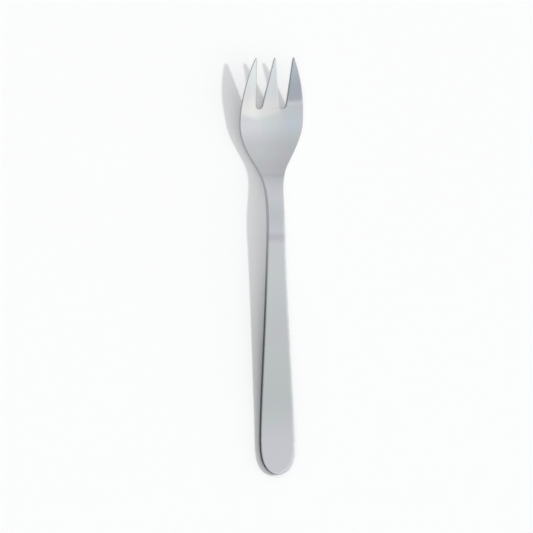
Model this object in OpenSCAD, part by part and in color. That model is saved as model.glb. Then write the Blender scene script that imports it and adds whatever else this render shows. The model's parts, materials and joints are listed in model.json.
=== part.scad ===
// Table fork with three tines, stamped and formed from one piece of stainless steel.
// It lies as it rests on a table: the flat end of the handle and the bottom of the bowl
// touch Z = 0, the tips point along +Y, and the origin is below the middle of the fork.
// A station is a length along Y, counted from the end of the handle.

/* [Overall] */
// Length from the end of the handle to the tips
fork_length = 185; // [175:1:205]
// Radius that softens every edge of the sheet
edge_r = 0.35; // [0.2:0.05:0.6]

/* [Handle] */
// Widest part of the handle
handle_w = 16.2; // [12:0.2:20]
// Thickness of the handle
handle_t = 2.6; // [2:0.1:3.5]
// Length of the rounded end of the handle
end_len = 15.5; // [8:0.5:20]
// Fullness of the rounded end, where 2 is a half ellipse
end_fullness = 3.2; // [2:0.1:4]
// Width of the neck, where the handle is narrowest
neck_w = 8; // [6:0.1:10]
// How late the taper starts, where 1 starts it at once
taper_start = 1.2; // [1:0.05:2]
// How softly the taper runs out into the neck
taper_end = 1.5; // [1.2:0.05:2.5]

/* [Head] */
// Widest part of the head
head_w = 29.8; // [26:0.2:34]
// From the tips back to the widest part of the head
head_back = 28.5; // [26:0.5:31]
// From the widest part back to the steepest part of the shoulders
shoulder_back = 18.5; // [16:0.5:22]
// Width across the steepest part of the shoulders
shoulder_w = 15.9; // [13:0.1:18]
// Gain in half width for each millimetre of length at that point
shoulder_slope = 0.62; // [0.4:0.01:0.7]
// From the steepest part of the shoulders back to the neck
neck_back = 22; // [16:0.5:30]
// Thickness of the head at its widest part
head_t = 1.8; // [1.4:0.1:2.4]
// Radius of the curve across the bowl
dish_r = 41; // [35:1:80]

/* [Tines] */
// Length of the gaps between the tines
gap_len = 22.4; // [18:0.2:24]
// Width of a gap at its round bottom
gap_w = 3.3; // [2.4:0.1:3.6]
// Distance between the middles of the two gap bottoms
gap_pitch = 11; // [10.5:0.1:12]
// Distance between the middles of two neighbouring tips
tip_pitch = 8.8; // [8.4:0.05:9.5]
// Width of a tip before it is rounded off
tip_w = 0.8; // [0.6:0.05:1.2]
// Length over which a tip is rounded off
tip_len = 1.1; // [0.4:0.1:1.5]
// Length over which the outer tines ease out of the bowl's curve and begin to come down
level_bend = 10; // [4:1:14]
// Thickness at the tips
tip_t = 1.2; // [1:0.1:1.6]

/* [Side profile] */
// From the end of the handle to the bend where it starts to rise
heel_at = 20; // [12:1:35]
// Length of that bend
heel_bend = 14; // [6:1:20]
// From the tips back to the bend at the top of the neck
crest_back = 64; // [58:1:70]
// Height above the table of the corner at the top of the neck, before it is eased
crest_rise = 6.6; // [4:0.1:10]
// Length of the bend at the top of the neck
crest_bend = 26; // [10:1:28]
// From the tips back to the bend behind the bowl
bowl_back = 44.5; // [42:0.5:46]
// Length of that bend
back_bend = 12; // [8:0.5:14]
// From the tips back to the bend in front of the bowl
bowl_front = 29; // [27:0.5:31]
// Length of that bend, which carries on into the tines
front_bend = 20; // [12:1:22]
// Height of the underside of the tips above the table
tip_rise = 11.1; // [8:0.1:15]

/* [Hidden] */

// Stations of the outline
head_at = fork_length - head_back;
shoulder_at = head_at - shoulder_back;
neck_at = shoulder_at - neck_back;
gap_r = gap_w / 2;
gap_at = fork_length - gap_len;
gap_round_at = gap_at + gap_r;
gap_mid = gap_pitch / 2;

// Stations and slopes of the side profile
crest_at = fork_length - crest_back;
bowl_back_at = fork_length - bowl_back;
bowl_front_at = fork_length - bowl_front;
level_at = gap_round_at + level_bend / 2;
handle_slope = crest_rise / (crest_at - heel_at);
neck_slope = crest_rise / (bowl_back_at - crest_at);
tine_slope = tip_rise / (fork_length - bowl_front_at);

// The front of the head is a circle through its widest part and the outer tips
tip_reach = tip_pitch + tip_w / 2;
front_drop = head_w / 2 - tip_reach;
front_r = (pow(head_back, 2) + pow(front_drop, 2)) / (2 * front_drop);

// The mesh has three lanes, one for each tine, with this many cells across each
lane_cells = 8;
edge_cells = 3;
lane_mid = lane_cells / 2;
half_cells = lane_cells + lane_mid;
flat_cells = half_cells - edge_cells;

// The mesh's rows along the fork
end_rows = 9;
handle_rows = 17;
head_rows = 25;
gap_rows = 4;
tine_rows = 10;
tip_rows = 4;

// Smallest share of an end's length, so that an end closes on a narrow flat
end_nose = 0.003;
tip_nose = 0.1;
// Small step along the fork for finding how an edge leans
lean_step = 0.02;
// The softened edge never takes more of the sheet than this share of its thickness
edge_share = 0.45;
// Share of a narrow tine's half width that each of the cells at its edge may take
edge_crowd = 0.22;

function ease(u) = u <= 0 ? 0 : u >= 1 ? 1 : u * u * (3 - 2 * u);
function blend(a, b, u) = a + (b - a) * u;

// One corner of a bent line: 0 before it, the length past it after it, a parabola between
function bend(s, at, over) =
    s <= at - over / 2 ? 0 :
    s >= at + over / 2 ? s - at :
    pow(s - at + over / 2, 2) / (2 * over);

// Cubic from half width a to b over the given length, with their slopes
function curve(u, len, a, slope_a, b, slope_b) =
    a * (1 - 3 * u * u + 2 * u * u * u) + b * (3 * u * u - 2 * u * u * u)
    + len * slope_a * (u - 2 * u * u + u * u * u) + len * slope_b * (u * u * u - u * u);

// Share of the full width at the share u of a rounded end
function rounded_end(u, fullness, nose) = u >= 1 ? 1 : sqrt(1 - pow(1 - max(u, nose), fullness));

// Half width of the whole outline, before the tips are rounded off
function half_w(s) =
    s < end_len ? handle_w / 2 * rounded_end(s / end_len, end_fullness, end_nose) :
    s < neck_at ? blend(neck_w / 2, handle_w / 2,
        pow(1 - pow((s - end_len) / (neck_at - end_len), taper_start), taper_end)) :
    s < shoulder_at ? curve((s - neck_at) / neck_back, neck_back,
        neck_w / 2, 0, shoulder_w / 2, shoulder_slope) :
    s < head_at ? curve((s - shoulder_at) / shoulder_back, shoulder_back,
        shoulder_w / 2, shoulder_slope, head_w / 2, 0) :
    head_w / 2 - front_r + sqrt(pow(front_r, 2) - pow(s - head_at, 2));

// A tine as [distance of its middle from the centre line, half width]
function tip_share(s) = rounded_end((fork_length - s) / tip_len, 2, tip_nose);
function gap_share(s) = (s - gap_round_at) / (fork_length - gap_round_at);
function middle_tine(s) = [0, tip_share(s) * blend(gap_mid - gap_r, tip_w / 2, gap_share(s))];
function inner_side(s) = blend(gap_mid + gap_r, tip_pitch - tip_w / 2, gap_share(s));
function outer_tine(s) =
    [(half_w(s) + inner_side(s)) / 2, tip_share(s) * (half_w(s) - inner_side(s)) / 2];

// Underside on the centre line, and the curve across the bowl, which the tines keep
function underside(s) =
    handle_slope * bend(s, heel_at, heel_bend)
    - (handle_slope + neck_slope) * bend(s, crest_at, crest_bend)
    + neck_slope * bend(s, bowl_back_at, back_bend)
    + tine_slope * bend(s, bowl_front_at, front_bend);
function dish(s) = ease((s - neck_at) / (bowl_back_at - neck_at)) / (2 * dish_r);
// The outer tines come down from that curve until all three tips are level
function is_outer(x, s) = s >= gap_round_at && abs(x) > (middle_tine(s)[1] + inner_side(s)) / 2;
function level_share(s) = bend(s, level_at, level_bend) / (fork_length - level_at);
function height(x, s) = underside(s)
    + dish(s) * (x * x - (is_outer(x, s) ? level_share(s) * pow(outer_tine(s)[0], 2) : 0));
// Thickness of the sheet
function thickness(s) =
    s < head_at ? blend(handle_t, head_t, ease((s - crest_at) / (head_at - crest_at))) :
    blend(head_t, tip_t, (s - head_at) / head_back);
function edge(s) = min(edge_r, edge_share * thickness(s));

// How much longer a step across the fork is than the true distance in from a leaning edge
function lean(rise) = sqrt(1 + pow(rise / (2 * lean_step), 2));
function body_lean(s) = lean(half_w(s + lean_step) - half_w(max(0, s - lean_step)));
function tine_lean(tine_after, tine_before) = lean(tine_after[1] - tine_before[1]);

// Distance in from the nearest edge of a sheet of the given half width, at x from its middle
function inset(x, half, leaning) = (half * half - x * x) / (2 * half * leaning);
function gap_inset(x, s) = norm([abs(x) - gap_mid, s - gap_round_at]) - gap_r;
function tine_at(s, outer) = outer ? outer_tine(s) : middle_tine(s);
function tine_inset(x, s, outer) =
    inset(abs(x) - tine_at(s, outer)[0], tine_at(s, outer)[1],
        tine_lean(tine_at(s + lean_step, outer), tine_at(s - lean_step, outer)));
function inset_at(x, s) =
    s < gap_round_at ? min(inset(x, half_w(s), body_lean(s)), gap_inset(x, s)) :
    tine_inset(x, s, is_outer(x, s));

// What the softened edge takes off each face at the distance d in from it
function softened(d, r) = d >= r ? 0 : r - sqrt(max(0, r * r - pow(r - max(0, d), 2)));

// Points across half of the fork, from the centre line outwards
function round_share(i) = 1 - cos(90 * i / edge_cells);
function edge_step(i, s, half, leaning) = min(round_share(i) * edge(s) * leaning, i * edge_crowd * half);
function outer_edge(s) =
    [for (i = [edge_cells:-1:0]) half_w(s) - edge_step(i, s, half_w(s), body_lean(s))];
// The curves that run round a gap's bottom at the edge cells' distances from it
function gap_reach(i, s) = sqrt(pow(gap_r + round_share(i) * edge(s), 2)
    - pow(min(gap_r, gap_round_at - s), 2));
function gap_side(s, side) =
    [for (i = [0:edge_cells]) gap_mid + side * gap_reach(i, s)];
function reversed(list) = [for (i = [len(list) - 1:-1:0]) list[i]];
function mirrored(list) = [for (x = reversed(list)) -x];
function across(from_middle, to_edge) =
    concat(from_middle, [(from_middle[edge_cells] + to_edge[0]) / 2], to_edge);

// Tines above the round bottom of the gaps
function tine_edge(s, outer) = let(tine = tine_at(s, outer))
    [for (i = [edge_cells:-1:0]) tine[1] - edge_step(i, s, tine[1],
        tine_lean(tine_at(s + lean_step, outer), tine_at(s - lean_step, outer)))];
function tine_points(s, outer) = let(tine = tine_at(s, outer), side = tine_edge(s, outer))
    [for (x = concat(mirrored(side), [0], side)) tine[0] + x];

// Lanes beside the round bottom of the gaps
function outer_lane(s) = s < gap_round_at ? across(gap_side(s, 1), outer_edge(s)) : tine_points(s, true);
function middle_half(s) = concat([0], reversed(gap_side(s, -1)));
function middle_lane(s) = s < gap_round_at ?
    concat(mirrored(middle_half(s)), [for (i = [1:lane_mid]) middle_half(s)[i]]) :
    tine_points(s, false);

// Body: even points on the handle that draw together towards the gaps' bottoms
function lanes_half(s) = concat(middle_half(s), [for (i = [1:lane_cells]) outer_lane(s)[i]]);
function even_half(s) = concat(
    [for (i = [0:flat_cells - 1]) outer_edge(s)[0] * i / flat_cells], outer_edge(s));
function body_half(s) = let(u = ease((s - shoulder_at) / (gap_at - edge_r - shoulder_at)),
    even = even_half(s), lanes = lanes_half(s))
    [for (i = [0:half_cells]) u <= 0 ? even[i] : blend(even[i], lanes[i], u)];
function body_row(s) = concat(mirrored(body_half(s)), [for (i = [1:half_cells]) body_half(s)[i]]);
function tine_row(s) = concat(mirrored(outer_lane(s)), middle_lane(s), outer_lane(s));

// Stations of the rows
function after(a, b, count) = [for (i = [1:count]) blend(a, b, i / count)];
body_stations = concat(
    [for (i = [0:end_rows]) end_len * (1 - cos(90 * i / end_rows))],
    after(end_len, crest_at - crest_bend / 2, handle_rows),
    after(crest_at - crest_bend / 2, gap_at - edge_r, head_rows),
    [for (i = [edge_cells - 1:-1:0]) gap_at - edge_r * round_share(i)]);
tine_stations = concat(
    [for (i = [1:gap_rows]) gap_at + gap_r * (1 - cos(90 * i / gap_rows))],
    after(gap_round_at, fork_length - tip_len, tine_rows),
    [for (i = [1:tip_rows]) fork_length - tip_len * (1 - sin(90 * i / tip_rows))]);

// Points of the top and bottom faces
function sheet_point(x, s, top) =
    let(soft = softened(inset_at(x, s), edge(s)))
    [x, s - fork_length / 2, height(x, s) + (top ? thickness(s) - soft : soft)];
function face_points(top) = concat(
    [for (s = body_stations) for (x = body_row(s)) sheet_point(x, s, top)],
    [for (s = tine_stations) for (x = tine_row(s)) sheet_point(x, s, top)]);

// Numbering of the points by row, lane and place in the lane
body_count = len(body_stations);
row_count = body_count + len(tine_stations);
body_stride = 3 * lane_cells + 1;
tine_stride = 3 * (lane_cells + 1);
face_size = body_count * body_stride + len(tine_stations) * tine_stride;
function point_no(row, lane, i) = row < body_count ?
    row * body_stride + lane * lane_cells + i :
    body_count * body_stride + (row - body_count) * tine_stride + lane * (lane_cells + 1) + i;

// Four corners as two triangles
function pair(a, b, c, d) = [[a, b, c], [a, c, d]];
function each_pair(pairs) = [for (p = pairs) for (triangle = p) triangle];

top_faces = each_pair([for (row = [0:row_count - 2]) for (lane = [0:2]) for (i = [0:lane_cells - 1])
    pair(point_no(row, lane, i), point_no(row + 1, lane, i),
        point_no(row + 1, lane, i + 1), point_no(row, lane, i + 1))]);
bottom_faces = [for (f = top_faces) [f[2] + face_size, f[1] + face_size, f[0] + face_size]];

// The wall between two neighbouring points of the top's border
function wall(a, b) = pair(b, a, a + face_size, b + face_size);
function left_wall(row, lane) = wall(point_no(row, lane, 0), point_no(row + 1, lane, 0));
function right_wall(row, lane) =
    wall(point_no(row + 1, lane, lane_cells), point_no(row, lane, lane_cells));
walls = each_pair(concat(
    [for (row = [0:row_count - 2]) left_wall(row, 0)],
    [for (row = [0:row_count - 2]) right_wall(row, 2)],
    [for (row = [body_count - 1:row_count - 2]) for (lane = [1:2]) left_wall(row, lane)],
    [for (row = [body_count - 1:row_count - 2]) for (lane = [0:1]) right_wall(row, lane)],
    [for (i = [0:body_stride - 2]) wall(i + 1, i)],
    [for (lane = [0:2]) for (i = [0:lane_cells - 1])
        wall(point_no(row_count - 1, lane, i), point_no(row_count - 1, lane, i + 1))]));

module fork() {
    color("lightgray")
        polyhedron(
            points = concat(face_points(true), face_points(false)),
            faces = concat(top_faces, bottom_faces, walls),
            convexity = 6);
}

fork();
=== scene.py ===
import json
import math

import bpy
from mathutils import Matrix, Vector

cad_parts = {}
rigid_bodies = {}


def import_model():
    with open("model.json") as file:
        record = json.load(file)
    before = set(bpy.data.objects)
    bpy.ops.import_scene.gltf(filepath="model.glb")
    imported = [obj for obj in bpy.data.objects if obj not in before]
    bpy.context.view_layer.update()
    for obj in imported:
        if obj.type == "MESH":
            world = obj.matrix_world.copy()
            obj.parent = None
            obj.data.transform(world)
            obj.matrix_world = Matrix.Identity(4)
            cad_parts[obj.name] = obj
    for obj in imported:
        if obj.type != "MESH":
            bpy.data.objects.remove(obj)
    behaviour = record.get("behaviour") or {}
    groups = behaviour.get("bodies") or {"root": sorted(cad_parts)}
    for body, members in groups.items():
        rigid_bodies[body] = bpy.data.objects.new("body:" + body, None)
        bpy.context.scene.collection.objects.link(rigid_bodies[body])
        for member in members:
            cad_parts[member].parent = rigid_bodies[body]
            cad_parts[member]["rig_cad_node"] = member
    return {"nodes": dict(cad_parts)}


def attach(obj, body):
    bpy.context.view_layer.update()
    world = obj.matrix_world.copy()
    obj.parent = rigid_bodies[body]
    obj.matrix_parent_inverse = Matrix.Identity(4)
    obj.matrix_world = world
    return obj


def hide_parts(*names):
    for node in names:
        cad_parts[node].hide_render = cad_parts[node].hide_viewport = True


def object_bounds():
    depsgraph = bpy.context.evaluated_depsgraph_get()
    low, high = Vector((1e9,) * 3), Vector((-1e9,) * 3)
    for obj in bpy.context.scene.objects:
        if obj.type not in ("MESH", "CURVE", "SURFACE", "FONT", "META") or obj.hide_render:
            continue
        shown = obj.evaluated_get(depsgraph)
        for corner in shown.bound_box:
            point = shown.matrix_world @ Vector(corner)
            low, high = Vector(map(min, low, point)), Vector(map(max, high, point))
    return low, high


bl_info = {
    "name": "Table Fork",
    "version": (1, 0),
    "blender": (4, 5, 0),
    "location": "View3D > Sidebar > Table Fork",
    "description": "A polished steel table fork on a white table in soft studio light",
    "category": "Add Mesh",
}

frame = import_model()
CAD_LOW, CAD_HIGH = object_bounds()

MM = 0.001
BODY = "root"
FORK_NODE = "fork"

# Painted reflection: paler and darker colours of the steel that stand in for what it mirrors,
# and where they lie, as a share of the fork's length from the butt
PAINTED_REFLECTION_TONES = (
    (0.05, (0.625, 0.627, 0.67)),
    (0.18, (0.515, 0.55, 0.552)),
    (0.33, (0.535, 0.565, 0.57)),
    (0.5, (0.582, 0.61, 0.624)),
    (0.622, (0.575, 0.595, 0.63)),
    (0.68, (0.637, 0.652, 0.685)),
    (0.76, (0.56, 0.578, 0.595)),
    (0.84, (0.59, 0.618, 0.635)),
    (0.885, (0.602, 0.598, 0.597)),
    (0.92, (0.55, 0.572, 0.592)),
    (0.98, (0.575, 0.612, 0.63)),
)

# Faint dark bands across the neck: their middle along Y, their reach and how much they darken
NECK_BANDS = ((12.9 * MM, 3.2 * MM, 0.13), (40.4 * MM, 1.9 * MM, 0.07))

# Usual size of the fine lines and faint clouds that polishing leaves
LINE_LENGTH = 14 * MM
LINE_WIDTH = 0.16 * MM
CLOUD_SIZE = 9 * MM

# Where in the noise the clouds begin and are whole, and what they multiply the colour by
CLOUD_RANGE = (0.3, 0.7)
CLOUD_TINTS = ((0.98, 1.01, 0.985), (1.015, 0.985, 1.02))

# Shares of the steel's roughness: what lies between the clouds, and what a cloud adds
CLEAR_ROUGHNESS = 0.85
CLOUD_ROUGHNESS = 0.3

# How far the normal points up where the sheared edge begins and where it is whole
EDGE_UPRIGHT = (0.5, 0.2)

# Where the painted shade on the edge, the rounding of the handle's edges and the table's painted
# light, which pales the fork's shadow, change on the way from the handle to the head, from and to
# along Y
EDGE_SHADE_CHANGE = (-25 * MM, 30 * MM)
ROUNDING_CHANGE = (25 * MM, 45 * MM)
PAINTED_LIGHT_CHANGE = (-60 * MM, 30 * MM)

# Where the rounding of the left edge passes into that of the right one, from and to along X,
# what is left of both at the head, and how finely the rounding is drawn
SIDE_CHANGE = (-2 * MM, 2 * MM)
HEAD_ROUNDING = 0.15
ROUNDING_SAMPLES = 8

# Where the tines part from the bowl, along Y, the length over which their polish bends back,
# the slope that it reaches, and how far from the middle line the outer tines begin
TINE_ROOT = 71.75 * MM
LEAN_BEND = 10 * MM
TINE_LEAN = 0.077
OUTER_TINES = 5.5 * MM

# The room is read by where a direction meets a flat ceiling one unit above the table: how far
# to the fork's right, and how far ahead, towards its tips. A direction that rises less than
# this counts as rising this much.
LOWEST_RISE = 0.04

# The ceiling: where it gains light to the right and how much, where it gains light behind the
# handle and how much at the left and right of that, and where it loses light ahead
RIGHT_CHANGE = (-0.25, 0.8)
RIGHT_GAIN = 0.13
NEAR_CHANGE = (0.1, -0.4)
NEAR_RIGHT_CHANGE = (0, 0.8)
NEAR_GAINS = (0.11, 0.155)
AHEAD_CHANGE = (0.25, 0.85)
AHEAD_LOSS = 0.12

# The window: slope and offset of its two edges, the roundness of the corner between them, its
# blur, and where it gains light and loses it again to the right
WINDOW_EDGES = ((0.42, -0.628), (-0.27, -0.234))
WINDOW_CORNER = 0.42
WINDOW_BLUR = 0.06
WINDOW_GAIN = 0.12
WINDOW_RISE = (0.4, 1.2)
WINDOW_FALL = (1.2, 1.8)

# The dark panel: the slope of its front edge, that edge, its right side, and where it grows
# paler away from the fork, down to this share
PANEL_SLOPE = -0.09
PANEL_EDGE = (-0.69, -0.72)
PANEL_SIDE = (0.09, 0)
PANEL_FADE = (-0.75, -0.86)
PANEL_FAR_SHARE = 0.66

# Where the ceiling passes into each wall
LEFT_WALL = (-0.3, -1.2)
RIGHT_WALL = (2.8, 4.5)
FAR_WALL = (0.85, 1.8)
NEAR_WALL = (-1.15, -2.2)

# Tints of the room: warm in the right part of the window, cool at the left behind the handle
WARM_TINT = (1, 1, 0.97)
WARM_CHANGE = (0.4, 0.9)
COOL_TINT = (0.945, 1, 1.055)
COOL_LEFT_CHANGE = (0.2, -0.1)
COOL_NEAR_CHANGE = (-0.05, -0.3)

# How far the table lies below the fork, which keeps their faces apart
TABLE_DROP = 0.01 * MM

# The side of the photo in its own pixels, and the point in it where the fork's origin lies
PHOTO_SIDE = 533
ORIGIN_ACROSS = 271.45
ORIGIN_DOWN = 266.6

# The camera's sensor in mm, and how far it sees in metres
SENSOR_WIDTH = 36
CLIP_END = 100


class ForkProperties(bpy.types.PropertyGroup):
    """How smooth the fork's mesh is made"""

    smoothing: bpy.props.IntProperty(
        name="Smoothing",
        description="Times each face of the packed solid is divided",
        default=2, min=1, max=2)
    weld: bpy.props.FloatProperty(
        name="Weld distance",
        description="Corners of the packed solid closer than this become one",
        default=0.002 * MM, unit="LENGTH", precision=6)
    pairing: bpy.props.FloatProperty(
        name="Pairing angle",
        description="Largest angle between two triangles that become one four-sided face",
        default=math.radians(60), subtype="ANGLE")


class SteelProperties(bpy.types.PropertyGroup):
    """The finish of the steel, with painted shade on its sheared edge"""

    # Painted shade: the handle's edge is coloured nearly black for the shadowed table it mirrors
    handle_edge_painted_shade: bpy.props.FloatVectorProperty(
        name="Edge of the handle",
        description="Colour of the sheared edge along the handle",
        default=(0.09, 0.09, 0.095), min=0, max=1, subtype="COLOR")
    # Painted shade, paler than along the handle, for the paler table that the head's edge mirrors
    head_edge_painted_shade: bpy.props.FloatVectorProperty(
        name="Edge of the head",
        description="Colour of the brighter polished edge round the head",
        default=(0.5, 0.51, 0.53), min=0, max=1, subtype="COLOR")
    roughness: bpy.props.FloatProperty(
        name="Roughness",
        description="Roughness of the polished faces",
        default=0.06, min=0, max=1, subtype="FACTOR")
    tine_lean: bpy.props.FloatProperty(
        name="Tine lean",
        description="Slope by which the polish makes the outer tines look steeper than the sheet",
        default=TINE_LEAN, min=0, max=0.2)
    left_rounding: bpy.props.FloatProperty(
        name="Left rounding",
        description="Width over which the polish softens the look of the handle's left edge",
        default=0.8 * MM, unit="LENGTH", precision=4)
    right_rounding: bpy.props.FloatProperty(
        name="Right rounding",
        description="Width over which the polish softens the look of the handle's right edge",
        default=2.4 * MM, unit="LENGTH", precision=4)
    edge_roughness: bpy.props.FloatProperty(
        name="Edge roughness",
        description="Roughness of the sheared edge of the sheet",
        default=0.3, min=0, max=1, subtype="FACTOR")
    scratch_length: bpy.props.FloatProperty(
        name="Scratch length",
        description="Usual length of the fine polishing lines, which run along the fork",
        default=LINE_LENGTH, unit="LENGTH")
    scratch_width: bpy.props.FloatProperty(
        name="Scratch width",
        description="Usual width of the fine polishing lines",
        default=LINE_WIDTH, unit="LENGTH", precision=5)
    scratch_depth: bpy.props.FloatProperty(
        name="Scratch depth",
        description="Depth of the fine polishing lines",
        default=0.0006 * MM, unit="LENGTH", precision=7)
    cloud_size: bpy.props.FloatProperty(
        name="Cloud size",
        description="Size of the faint dull and bright areas that polishing leaves",
        default=CLOUD_SIZE, unit="LENGTH")


class StudioProperties(bpy.types.PropertyGroup):
    """The table, the light and the view"""

    floor_colour: bpy.props.FloatVectorProperty(
        name="Table colour",
        description="Colour of the white table",
        default=(0.907, 0.907, 0.907), min=0, max=1, subtype="COLOR")
    white: bpy.props.FloatProperty(
        name="White",
        description="Brightness of the table in the picture away from the shadow",
        default=0.975, min=0, max=1)
    # Painted light: the table glows by itself by these shares, which pales the fork's shadow
    painted_light_by_handle: bpy.props.FloatProperty(
        name="Glow by the handle",
        description="Share of the table's white beside the handle that the shadow leaves alone",
        default=0.05, min=0, max=1, subtype="FACTOR")
    painted_light_by_head: bpy.props.FloatProperty(
        name="Glow by the head",
        description="Share of the table's white beside the head that the shadow leaves alone",
        default=0.27, min=0, max=1, subtype="FACTOR")
    floor_side: bpy.props.FloatProperty(
        name="Table side",
        description="Side of the square table",
        default=12.0, unit="LENGTH")
    key_strength: bpy.props.FloatProperty(
        name="Key strength",
        description="Strength of the light that throws the shadow",
        default=1.63, min=0)
    key_spread: bpy.props.FloatProperty(
        name="Key spread",
        description="How wide that light looks from the table, which softens the shadow",
        default=math.radians(4), subtype="ANGLE")
    key_right: bpy.props.FloatProperty(
        name="Key to the right",
        description="How far that light leans to the fork's right from straight above",
        default=math.radians(41), subtype="ANGLE")
    key_forward: bpy.props.FloatProperty(
        name="Key forward",
        description="How far that light leans towards the tips from straight above",
        default=math.radians(9.6), subtype="ANGLE")
    ceiling: bpy.props.FloatProperty(
        name="Ceiling",
        description="Brightness of the ceiling left of the fork, from where it grows rightwards",
        default=0.8, min=0)
    window: bpy.props.FloatProperty(
        name="Window",
        description="How much brighter than the ceiling the dimmest part of the window is",
        default=0.13, min=0)
    dark_panel: bpy.props.FloatProperty(
        name="Dark panel",
        description="Share of the light that the dark panel left of the window takes away",
        default=0.335, min=0, max=1, subtype="FACTOR")
    left_wall: bpy.props.FloatProperty(
        name="Left wall",
        description="Brightness of the far left of the room, as a share of the ceiling's",
        default=0.35, min=0)
    right_wall: bpy.props.FloatProperty(
        name="Right wall",
        description="Brightness of the far right of the room, as a share of the ceiling's",
        default=2.1, min=0)
    end_walls: bpy.props.FloatProperty(
        name="End walls",
        description="Brightness of the room's two ends, as a share of the ceiling's",
        default=0.25, min=0)
    view_left: bpy.props.FloatProperty(
        name="View from the left",
        description="How far the camera leans to the fork's left from straight above",
        default=math.radians(20), subtype="ANGLE")
    view_roll: bpy.props.FloatProperty(
        name="Roll",
        description="How far the fork leans to the left in the picture",
        default=0.027, subtype="ANGLE")
    view_distance: bpy.props.FloatProperty(
        name="View distance",
        description="From the camera to the fork",
        default=3.0, unit="LENGTH")
    view_width: bpy.props.FloatProperty(
        name="View width",
        description="Width of the table that the picture shows",
        default=0.2369, unit="LENGTH", precision=4)


def deselect_all():
    """Leaves nothing selected, so that the next operator acts on what it adds."""
    for other in bpy.context.selected_objects:
        other.select_set(False)


def leaning(across, along):
    """Direction that leans from straight up by an angle towards +X and one towards +Y."""
    return Vector((math.tan(across), math.tan(along), 1)).normalized()


def new_node(tree, kind, **values):
    """Adds a node and sets its own values."""
    node = tree.nodes.new(kind)
    for name, value in values.items():
        setattr(node, name, value)
    return node


def feed(tree, value, socket):
    """Links a socket to the one before it, or gives it a constant."""
    if isinstance(value, bpy.types.NodeSocket):
        tree.links.new(value, socket)
    else:
        socket.default_value = value


def feed_all(tree, node, values):
    """Feeds a node's inputs by their labels, each with a socket or a constant."""
    for label, value in values.items():
        feed(tree, value, node.inputs[label])


def maths(tree, operation, *values, kind="ShaderNodeMath"):
    """Output of a math node with these inputs, each a socket or a constant."""
    node = new_node(tree, kind, operation=operation)
    for value, socket in zip(values, node.inputs):
        feed(tree, value, socket)
    return node.outputs[0]


def eased(tree, value, start, end, low=0, high=1):
    """Output that goes softly from low to high while the value goes from start to end."""
    node = new_node(tree, "ShaderNodeMapRange", interpolation_type="SMOOTHSTEP")
    feed_all(tree, node, {"Value": value, "From Min": start, "From Max": end,
                          "To Min": low, "To Max": high})
    return node.outputs[0]


def mixed(tree, share, first, second):
    """Output of a colour mix, each input a socket or a colour of three numbers."""
    node = new_node(tree, "ShaderNodeMix", data_type="RGBA")
    feed(tree, share, node.inputs["Factor"])
    for value, name in ((first, "A"), (second, "B")):
        colour = value if isinstance(value, bpy.types.NodeSocket) else (*value, 1)
        feed(tree, colour, node.inputs[name])
    return node.outputs["Result"]


def split(tree, vector):
    """Outputs X, Y and Z of a vector."""
    node = new_node(tree, "ShaderNodeSeparateXYZ")
    feed(tree, vector, node.inputs[0])
    return node.outputs


def bumped(tree, normal, height, distance):
    """Output of a bump node that raises a surface of this normal by height times distance."""
    node = new_node(tree, "ShaderNodeBump")
    feed_all(tree, node, {"Normal": normal, "Height": height, "Distance": distance})
    return node.outputs["Normal"]


def new_material(name):
    """A new material, its node tree and its shader."""
    material = bpy.data.materials.new(name)
    material.use_nodes = True
    return material, material.node_tree, material.node_tree.nodes["Principled BSDF"]


def group_tree(name, inputs, outputs):
    """A new shader node group, its input node and its output node.

    Each input is given as its label, socket kind and default, each output as label and kind.
    """
    tree = bpy.data.node_groups.new(name, "ShaderNodeTree")
    for label, kind, value in inputs:
        socket = tree.interface.new_socket(name=label, in_out="INPUT", socket_type=kind)
        if value is not None:
            socket.default_value = value
    for label, kind in outputs:
        tree.interface.new_socket(name=label, in_out="OUTPUT", socket_type=kind)
    return tree, tree.nodes.new("NodeGroupInput"), tree.nodes.new("NodeGroupOutput")


def placed_group(tree, group, values):
    """Outputs of a node group that is placed in a material with these inputs."""
    node = new_node(tree, "ShaderNodeGroup", node_tree=group)
    feed_all(tree, node, values)
    return node.outputs


def sheared_edge_group():
    """Masks the sheared edge of a sheet that lies flat, where the surface stands up."""
    tree, given, result = group_tree(
        "Sheared Edge",
        [("Normal", "NodeSocketVector", None)],
        [("Mask", "NodeSocketFloat")])
    upward = maths(tree, "ABSOLUTE", split(tree, given.outputs["Normal"])["Z"])
    feed(tree, eased(tree, upward, *EDGE_UPRIGHT), result.inputs["Mask"])
    return tree


def polishing_group():
    """Fine lines along Y and faint clouds, as a polishing wheel leaves them on steel."""
    tree, given, result = group_tree(
        "Polishing Marks",
        [("Vector", "NodeSocketVector", None),
         ("Line Length", "NodeSocketFloat", LINE_LENGTH),
         ("Line Width", "NodeSocketFloat", LINE_WIDTH),
         ("Cloud Size", "NodeSocketFloat", CLOUD_SIZE)],
        [("Lines", "NodeSocketFloat"), ("Clouds", "NodeSocketFloat")])
    place = given.outputs["Vector"]
    size = new_node(tree, "ShaderNodeCombineXYZ")
    feed_all(tree, size, {"X": given.outputs["Line Width"], "Y": given.outputs["Line Length"],
                          "Z": given.outputs["Line Width"]})
    stretched = maths(tree, "DIVIDE", place, size.outputs[0], kind="ShaderNodeVectorMath")
    lines = new_node(tree, "ShaderNodeTexNoise")
    feed_all(tree, lines, {"Vector": stretched, "Scale": 1, "Detail": 3, "Roughness": 0.6})
    feed(tree, lines.outputs["Fac"], result.inputs["Lines"])

    clouds = new_node(tree, "ShaderNodeTexNoise")
    feed_all(tree, clouds, {"Vector": place, "Detail": 2,
                            "Scale": maths(tree, "DIVIDE", 1, given.outputs["Cloud Size"])})
    feed(tree, clouds.outputs["Fac"], result.inputs["Clouds"])
    return tree


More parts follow.
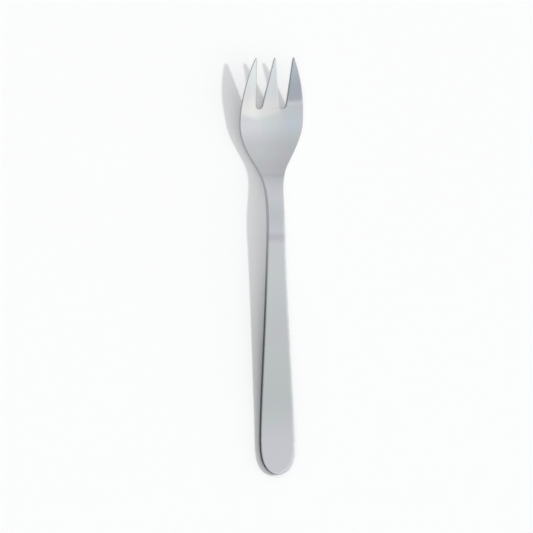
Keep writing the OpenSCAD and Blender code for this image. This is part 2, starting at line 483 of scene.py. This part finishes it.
def tine_lean_group():
    """Height of a polish that leans the outer tines' faces back from the root of the tines on."""
    tree, given, result = group_tree(
        "Tine Lean",
        [("Vector", "NodeSocketVector", None), ("Slope", "NodeSocketFloat", TINE_LEAN)],
        [("Height", "NodeSocketFloat")])
    parts = split(tree, given.outputs["Vector"])
    outer = maths(tree, "GREATER_THAN", maths(tree, "ABSOLUTE", parts["X"]), OUTER_TINES)
    past = maths(tree, "MAXIMUM", maths(tree, "SUBTRACT", parts["Y"], TINE_ROOT), 0)
    bent = maths(tree, "MINIMUM", past, LEAN_BEND)
    # A parabola over the bend and a straight line past it
    curved = maths(tree, "DIVIDE", maths(tree, "MULTIPLY", bent, bent), 2 * LEAN_BEND)
    rise = maths(tree, "ADD", curved, maths(tree, "SUBTRACT", past, bent))
    sloped = maths(tree, "MULTIPLY", rise, given.outputs["Slope"])
    feed(tree, maths(tree, "MULTIPLY", sloped, outer), result.inputs["Height"])
    return tree


def painted_reflection_and_tint_group():
    """Colour of the steel along the fork: painted reflection from paler to darker, tinted by the
    clouds.
    """
    tree, given, result = group_tree(
        "Painted Reflection And Tint",
        [("Share", "NodeSocketFloat", 0.5), ("Clouds", "NodeSocketFloat", 0.5)],
        [("Color", "NodeSocketColor")])
    ramp = new_node(tree, "ShaderNodeValToRGB")
    ramp.color_ramp.interpolation = "EASE"
    stops = ramp.color_ramp.elements
    while len(stops) < len(PAINTED_REFLECTION_TONES):
        stops.new(1)
    for stop, (share, colour) in zip(stops, PAINTED_REFLECTION_TONES):
        stop.position = share
        stop.color = (*colour, 1)
    feed(tree, given.outputs["Share"], ramp.inputs[0])
    tint = mixed(tree, given.outputs["Clouds"], *CLOUD_TINTS)
    tinted = maths(tree, "MULTIPLY", ramp.outputs["Color"], tint, kind="ShaderNodeVectorMath")
    feed(tree, tinted, result.inputs["Color"])
    return tree


def steel_colour(tree, place, clouds, edge, settings):
    """Colour of the steel: painted reflection along it, the neck's bands, painted shade on the
    edge.
    """
    along = split(tree, place["Object"])["Y"]
    fork_length = CAD_HIGH[1] - CAD_LOW[1]
    # Painted reflection along the fork, tinted by the clouds
    painted_reflection_and_tint = placed_group(tree, painted_reflection_and_tint_group(), {
        "Share": maths(tree, "MULTIPLY_ADD", along, 1 / fork_length, 0.5), "Clouds": clouds})
    brightness = 1
    for middle, reach, depth in NECK_BANDS:
        distance = maths(tree, "ABSOLUTE", maths(tree, "SUBTRACT", along, middle))
        brightness = maths(tree, "MULTIPLY", brightness,
                           eased(tree, distance, 0, reach, 1 - depth, 1))
    banded = new_node(tree, "ShaderNodeVectorMath", operation="SCALE")
    feed(tree, painted_reflection_and_tint["Color"], banded.inputs[0])
    feed(tree, brightness, banded.inputs["Scale"])
    # Painted shade on the sheared edge: dark along the handle, paler round the head
    sheared = mixed(tree, eased(tree, along, *EDGE_SHADE_CHANGE),
                    settings.handle_edge_painted_shade, settings.head_edge_painted_shade)
    return mixed(tree, edge, banded.outputs[0], sheared)


def steel_roughness(tree, clouds, edge, settings):
    """Roughness of the steel, which is higher in the clouds and on the sheared edge."""
    polished = maths(tree, "MULTIPLY_ADD", clouds, settings.roughness * CLOUD_ROUGHNESS,
                     settings.roughness * CLEAR_ROUGHNESS)
    rough = new_node(tree, "ShaderNodeMix", data_type="FLOAT")
    feed_all(tree, rough, {"Factor": edge, "A": polished, "B": settings.edge_roughness})
    return rough.outputs["Result"]


def steel_normal(tree, place, lines, settings):
    """Normal of the steel: soft edges along the handle, leant outer tines and fine lines."""
    parts = split(tree, place["Object"])
    radius = eased(tree, parts["X"], *SIDE_CHANGE, settings.left_rounding, settings.right_rounding)
    by_place = eased(tree, parts["Y"], *ROUNDING_CHANGE, 1, HEAD_ROUNDING)
    rounded = new_node(tree, "ShaderNodeBevel", samples=ROUNDING_SAMPLES)
    feed(tree, maths(tree, "MULTIPLY", radius, by_place), rounded.inputs["Radius"])
    lean = placed_group(tree, tine_lean_group(), {
        "Vector": place["Object"], "Slope": settings.tine_lean})
    leant = bumped(tree, rounded.outputs["Normal"], lean["Height"], 1)
    return bumped(tree, leant, lines, settings.scratch_depth)


def polished_steel(settings):
    """Polished stainless steel: fine lines, clouds, painted reflection and painted edge shade."""
    material, tree, shader = new_material("Polished Steel")
    place = new_node(tree, "ShaderNodeTexCoord").outputs
    marks = placed_group(tree, polishing_group(), {
        "Vector": place["Object"], "Line Length": settings.scratch_length,
        "Line Width": settings.scratch_width, "Cloud Size": settings.cloud_size})
    clouds = eased(tree, marks["Clouds"], *CLOUD_RANGE)
    edge = placed_group(tree, sheared_edge_group(), {"Normal": place["Normal"]})["Mask"]
    feed_all(tree, shader, {
        "Base Color": steel_colour(tree, place, clouds, edge, settings),
        "Metallic": 1,
        "Roughness": steel_roughness(tree, clouds, edge, settings),
        "Normal": steel_normal(tree, place, marks["Lines"], settings)})
    return material


class FORK_OT_add_fork(bpy.types.Operator):
    """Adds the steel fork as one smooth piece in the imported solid's place"""

    bl_idname = "fork.add_fork"
    bl_label = "Add Fork"

    def execute(self, context):
        scene = context.scene
        deselect_all()
        solid = frame["nodes"][FORK_NODE]
        solid.select_set(True)
        context.view_layer.objects.active = solid
        bpy.ops.object.duplicate()
        fork = context.object
        fork.name = "fork_steel"
        # The copy is a piece of its own and no longer a CAD node
        del fork["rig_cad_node"]
        bpy.ops.object.mode_set(mode="EDIT")
        bpy.ops.mesh.select_all(action="SELECT")
        bpy.ops.mesh.remove_doubles(threshold=scene.fork_shape.weld)
        # The angle alone decides which triangles pair up, whatever shape they make
        bpy.ops.mesh.tris_convert_to_quads(
            face_threshold=scene.fork_shape.pairing, shape_threshold=math.pi)
        bpy.ops.mesh.delete_loose()
        bpy.ops.object.mode_set(mode="OBJECT")
        divide = fork.modifiers.new("Smooth", "SUBSURF")
        divide.levels = scene.fork_shape.smoothing
        divide.render_levels = divide.levels
        bpy.ops.object.modifier_apply(modifier=divide.name)
        bpy.ops.object.shade_smooth()
        fork.data.materials.clear()
        fork.data.materials.append(polished_steel(scene.fork_steel))
        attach(fork, BODY)
        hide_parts(FORK_NODE)
        return {"FINISHED"}


def white_table(settings):
    """White table whose painted glow pales the fork's shadow, more by the head than the handle."""
    material, tree, shader = new_material("White Table")
    along = split(tree, new_node(tree, "ShaderNodeTexCoord").outputs["Object"])["Y"]
    # Painted light that pales the fork's shadow, growing from the handle to the head
    share = eased(tree, along, *PAINTED_LIGHT_CHANGE, settings.painted_light_by_handle, settings.painted_light_by_head)
    ray = new_node(tree, "ShaderNodeLightPath").outputs
    seen = maths(tree, "MAXIMUM", ray["Is Glossy Ray"], ray["Is Transmission Ray"])
    seen = maths(tree, "MAXIMUM", ray["Is Camera Ray"], seen)
    painted_light = maths(tree, "MULTIPLY", seen, share)
    feed_all(tree, shader, {
        "Base Color": mixed(tree, painted_light, settings.floor_colour, (0, 0, 0)),
        "Emission Color": (settings.white, settings.white, settings.white, 1),
        "Emission Strength": painted_light,
        "Roughness": 1,
        "Specular IOR Level": 0})
    return material


def ceiling_light(tree, right, ahead, settings):
    """Light of the ceiling, which grows to the right and behind the handle and fades ahead."""
    light = eased(tree, right, *RIGHT_CHANGE, settings.ceiling, settings.ceiling + RIGHT_GAIN)
    nearer = maths(tree, "MULTIPLY", eased(tree, ahead, *NEAR_CHANGE),
                   eased(tree, right, *NEAR_RIGHT_CHANGE, *NEAR_GAINS))
    light = maths(tree, "ADD", light, nearer)
    return maths(tree, "ADD", light, eased(tree, ahead, *AHEAD_CHANGE, 0, -AHEAD_LOSS))


def window_mask(tree, right, ahead):
    """Masks the window, which lies behind two straight edges with a round corner."""
    left_edge, right_edge = (
        maths(tree, "MULTIPLY_ADD", right, slope, offset) for slope, offset in WINDOW_EDGES)
    edge = maths(tree, "SMOOTH_MIN", left_edge, right_edge, WINDOW_CORNER)
    return eased(tree, maths(tree, "SUBTRACT", edge, ahead), -WINDOW_BLUR, WINDOW_BLUR)


def panel_shade(tree, right, ahead, settings):
    """Share of the light that the dark panel takes away."""
    shade = eased(tree, ahead, *PANEL_FADE,
                  settings.dark_panel, settings.dark_panel * PANEL_FAR_SHARE)
    sloped = maths(tree, "MULTIPLY_ADD", right, PANEL_SLOPE, ahead)
    shade = maths(tree, "MULTIPLY", shade, eased(tree, sloped, *PANEL_EDGE))
    return maths(tree, "MULTIPLY", shade, eased(tree, right, *PANEL_SIDE))


def studio_dome(settings):
    """Makes the pale room that lights the fork and shows in it.

    It has a bright window behind the handle, a dark panel left of that, a dim left side, dim
    ends and a bright right side.
    """
    world = bpy.data.worlds.new("Studio")
    world.use_nodes = True
    tree = world.node_tree
    parts = split(tree, new_node(tree, "ShaderNodeTexCoord").outputs["Generated"])
    rise = maths(tree, "MAXIMUM", parts["Z"], LOWEST_RISE)
    right = maths(tree, "DIVIDE", parts["X"], rise)
    ahead = maths(tree, "DIVIDE", parts["Y"], rise)

    in_window = window_mask(tree, right, ahead)
    window = eased(tree, right, *WINDOW_RISE, settings.window, settings.window + WINDOW_GAIN)
    window = maths(tree, "SUBTRACT", window, eased(tree, right, *WINDOW_FALL, 0, WINDOW_GAIN))
    ceiling = ceiling_light(tree, right, ahead, settings)
    light = maths(tree, "MULTIPLY_ADD", in_window, window, ceiling)
    shade = panel_shade(tree, right, ahead, settings)
    light = maths(tree, "MULTIPLY", light, maths(tree, "SUBTRACT", 1, shade))
    for side, change, share in (
            (right, LEFT_WALL, settings.left_wall), (right, RIGHT_WALL, settings.right_wall),
            (ahead, FAR_WALL, settings.end_walls), (ahead, NEAR_WALL, settings.end_walls)):
        light = maths(tree, "MULTIPLY", light, eased(tree, side, *change, 1, share))

    warm = maths(tree, "MULTIPLY", in_window, eased(tree, right, *WARM_CHANGE))
    cool = maths(tree, "MULTIPLY", eased(tree, right, *COOL_LEFT_CHANGE),
                 eased(tree, ahead, *COOL_NEAR_CHANGE))
    tint = mixed(tree, warm, (1, 1, 1), WARM_TINT)
    feed_all(tree, tree.nodes["Background"], {
        "Color": mixed(tree, cool, tint, COOL_TINT), "Strength": light})
    bpy.context.scene.world = world


def add_table(settings):
    """Adds the table just below the fork."""
    deselect_all()
    bpy.ops.mesh.primitive_plane_add(size=settings.floor_side, location=(0, 0, -TABLE_DROP))
    table = bpy.context.object
    table.name = "table"
    bpy.ops.object.transform_apply(location=True)
    table.data.materials.append(white_table(settings))


def add_key(settings):
    """Adds the light that throws the shadow, which the steel doesn't show."""
    deselect_all()
    bpy.ops.object.light_add(type="SUN", location=(0, 0, 1))
    key = bpy.context.object
    key.name = "key"
    key.data.energy = settings.key_strength
    key.data.angle = settings.key_spread
    key.rotation_mode = "QUATERNION"
    towards = leaning(settings.key_right, settings.key_forward)
    key.rotation_quaternion = towards.to_track_quat("Z", "Y")
    key.visible_glossy = False


def add_camera(settings):
    """Adds the camera at the photo's angle, with the fork's origin at its place in the photo."""
    deselect_all()
    bpy.ops.object.camera_add()
    camera = bpy.context.object
    camera.name = "camera"
    back = leaning(-settings.view_left, 0)
    level = Vector((0, 1, 0))
    side = level.cross(back)
    right = side * math.cos(settings.view_roll) - level * math.sin(settings.view_roll)
    up = level * math.cos(settings.view_roll) + side * math.sin(settings.view_roll)
    pixel = settings.view_width / PHOTO_SIDE
    middle = PHOTO_SIDE / 2
    aim = (right * (middle - ORIGIN_ACROSS) + up * (ORIGIN_DOWN - middle)) * pixel
    turned = Matrix((right, up, back)).transposed().to_4x4()
    camera.matrix_world = Matrix.Translation(aim + back * settings.view_distance) @ turned
    camera.data.sensor_width = SENSOR_WIDTH
    camera.data.lens = SENSOR_WIDTH * settings.view_distance / settings.view_width
    camera.data.clip_end = CLIP_END
    bpy.context.scene.camera = camera


class FORK_OT_set_stage(bpy.types.Operator):
    """Sets the white table, the soft light and the camera"""

    bl_idname = "fork.set_stage"
    bl_label = "Set Stage"

    def execute(self, context):
        settings = context.scene.fork_studio
        add_table(settings)
        add_key(settings)
        studio_dome(settings)
        add_camera(settings)
        context.scene.view_settings.view_transform = "Standard"
        return {"FINISHED"}


class FORK_PT_sidebar(bpy.types.Panel):
    """Lists the sizes, the finish and the operators"""

    bl_idname = "FORK_PT_sidebar"
    bl_label = "Table Fork"
    bl_space_type = "VIEW_3D"
    bl_region_type = "UI"
    bl_category = "Table Fork"

    def draw(self, context):
        scene = context.scene
        for settings in (scene.fork_shape, scene.fork_steel, scene.fork_studio):
            box = self.layout.box()
            for name in settings.__annotations__:
                box.prop(settings, name)
        self.layout.operator(FORK_OT_add_fork.bl_idname)
        self.layout.operator(FORK_OT_set_stage.bl_idname)


CLASSES = (ForkProperties, SteelProperties, StudioProperties,
           FORK_OT_add_fork, FORK_OT_set_stage, FORK_PT_sidebar)


def register():
    """Registers the classes and gives the scene its settings."""
    for cls in CLASSES:
        bpy.utils.register_class(cls)
    bpy.types.Scene.fork_shape = bpy.props.PointerProperty(type=ForkProperties)
    bpy.types.Scene.fork_steel = bpy.props.PointerProperty(type=SteelProperties)
    bpy.types.Scene.fork_studio = bpy.props.PointerProperty(type=StudioProperties)


def unregister():
    """Removes the settings and the classes."""
    del bpy.types.Scene.fork_studio
    del bpy.types.Scene.fork_steel
    del bpy.types.Scene.fork_shape
    for cls in reversed(CLASSES):
        bpy.utils.unregister_class(cls)


def main():
    """Builds the fork and its stage."""
    register()
    bpy.ops.fork.add_fork()
    bpy.ops.fork.set_stage()


if __name__ == "__main__":
    main()
